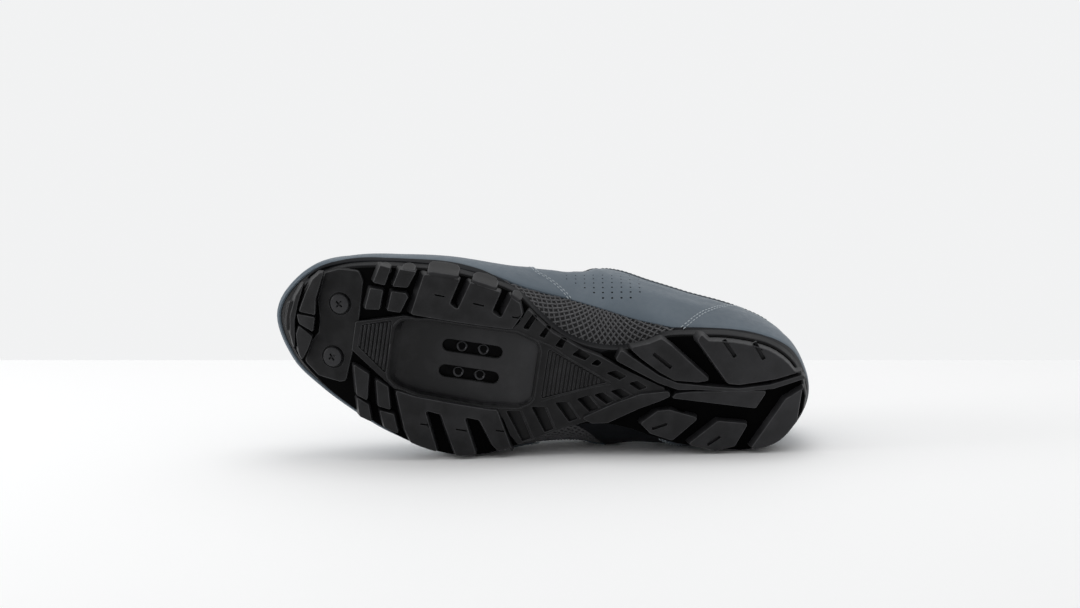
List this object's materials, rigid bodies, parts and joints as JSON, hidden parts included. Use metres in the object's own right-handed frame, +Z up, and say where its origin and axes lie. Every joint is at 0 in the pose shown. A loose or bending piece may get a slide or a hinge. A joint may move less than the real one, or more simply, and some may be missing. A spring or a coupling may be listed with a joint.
{
  "type": "cycling shoe",
  "caption": "Low-cut off-road cycling shoe for the right foot, lying on its side: hollow synthetic upper, lugged rubber sole, slotted cleat pocket and toe studs.",
  "frame": {"origin": "middle of the bounding box on the floor that the shoe lies on", "axes": "+X from the toe towards the heel, -Y the side that the sole faces, +Z up, towards the big-toe side of the shoe"},
  "size_m": [0.2786, 0.1108, 0.1072],
  "materials": {
    "nylon_black": "moulded, satin",
    "rubber_black": "moulded, matt with worn edges",
    "synthetic_slate": "satin synthetic leather over black fabric",
    "textile_black": "woven",
    "foam_grey": "fabric on foam",
    "steel_dark": "dark steel",
    "lace_black": "braided"
  },
  "bodies": {
    "root": {"sole_plate": "nylon_black", "tread_forefoot": "rubber_black", "tread_heel": "rubber_black", "nut_plate": "steel_dark", "upper": "synthetic_slate", "tongue": "textile_black", "insole": "foam_grey", "lace": "lace_black", "toe_stud_medial": "steel_dark", "toe_stud_lateral": "steel_dark", "eyelet_medial_1": "steel_dark", "eyelet_medial_2": "steel_dark", "eyelet_medial_3": "steel_dark", "eyelet_medial_4": "steel_dark", "eyelet_medial_5": "steel_dark", "eyelet_lateral_1": "steel_dark", "eyelet_lateral_2": "steel_dark", "eyelet_lateral_3": "steel_dark", "eyelet_lateral_4": "steel_dark", "eyelet_lateral_5": "steel_dark"}
  },
  "joints": []
}
